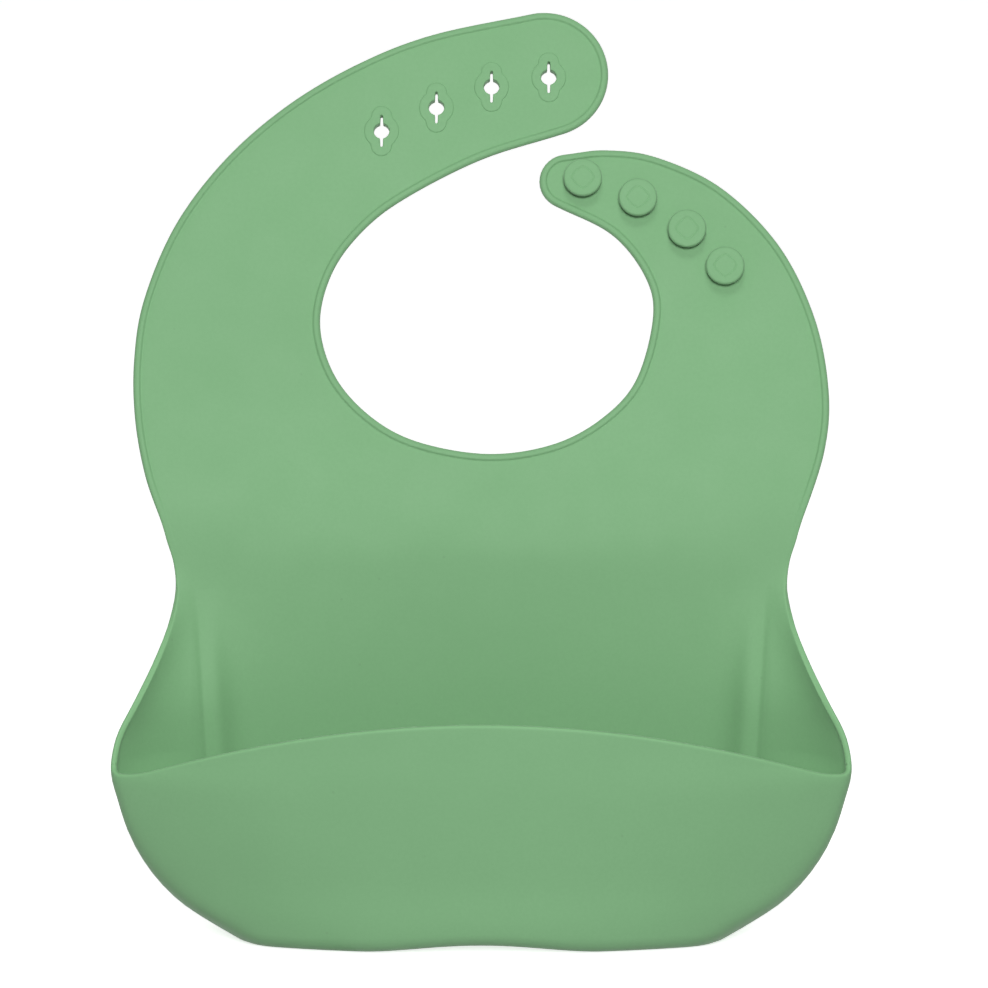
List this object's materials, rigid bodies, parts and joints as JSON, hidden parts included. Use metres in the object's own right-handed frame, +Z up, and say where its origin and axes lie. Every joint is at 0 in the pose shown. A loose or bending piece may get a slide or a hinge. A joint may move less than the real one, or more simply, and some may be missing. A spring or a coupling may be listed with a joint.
{
  "type": "silicone bib",
  "caption": "Soft silicone bib that stands on a deep catch-all pocket, with a round neck opening and two open neck straps, one with keyholes and one with studs.",
  "frame": {"origin": "centre of the bounding box at the level of the base that the bib stands on", "axes": "+Z up, the front of the bib and its pocket face -Y, +X to the right as seen from the front"},
  "size_m": [0.232, 0.1003, 0.291],
  "materials": {
    "silicone": "soft matte, moulded"
  },
  "bodies": {
    "pocket_section": {"lower_panel": "silicone", "pocket_base": "silicone", "pocket_corner_left": "silicone", "pocket_corner_right": "silicone", "pocket_side_left": "silicone", "pocket_side_right": "silicone"},
    "pocket_front": {"pocket_front_wall": "silicone", "pocket_lip": "silicone"},
    "upper_panel": {"upper_panel": "silicone", "neck_bead": "silicone", "side_bead_left": "silicone", "side_bead_right": "silicone"},
    "hole_strap": {"hole_strap": "silicone", "hole_strap_bead_outer": "silicone", "hole_strap_bead_inner": "silicone"},
    "hole_strap_tip": {"hole_strap_tip": "silicone", "hole_strap_tip_bead": "silicone", "hole_plate_1": "silicone", "hole_plate_2": "silicone", "hole_plate_3": "silicone", "hole_plate_4": "silicone"},
    "stud_strap": {"stud_strap": "silicone", "stud_strap_bead_outer": "silicone", "stud_strap_bead_inner": "silicone", "stud_3": "silicone", "stud_4": "silicone"},
    "stud_strap_tip": {"stud_strap_tip": "silicone", "stud_strap_tip_bead": "silicone", "stud_1": "silicone", "stud_2": "silicone"}
  },
  "joints": [
    {"name": "pocket_press", "type": "slide", "parent": "pocket_section", "child": "pocket_front", "axis": [0, 1, 0], "range_m": [0, 0.026], "stiffness_N_per_m": 60},
    {"name": "waist_fold", "type": "hinge", "parent": "pocket_section", "child": "upper_panel", "pos_m": [0, -0.00229, 0.132], "axis": [1, 0, 0], "range_deg": [-60, 100], "stiffness_Nm_per_rad": 0.6},
    {"name": "hole_strap_bend", "type": "hinge", "parent": "upper_panel", "child": "hole_strap", "pos_m": [-0.081, 0.01811, 0.19477], "axis": [1, 0, 0], "range_deg": [-80, 60], "stiffness_Nm_per_rad": 0.15},
    {"name": "hole_strap_tip_bend", "type": "hinge", "parent": "hole_strap", "child": "hole_strap_tip", "pos_m": [-0.0495, 0.03402, 0.24375], "axis": [0.5101, -0.2658, -0.818], "range_deg": [-60, 45], "stiffness_Nm_per_rad": 0.06},
    {"name": "stud_strap_bend", "type": "hinge", "parent": "upper_panel", "child": "stud_strap", "pos_m": [0.081, 0.01811, 0.19477], "axis": [1, 0, 0], "range_deg": [-80, 60], "stiffness_Nm_per_rad": 0.12},
    {"name": "stud_strap_tip_bend", "type": "hinge", "parent": "stud_strap", "child": "stud_strap_tip", "pos_m": [0.0583, 0.02871, 0.22739], "axis": [0.5452, 0.2591, 0.7973], "range_deg": [-60, 40], "stiffness_Nm_per_rad": 0.04}
  ]
}
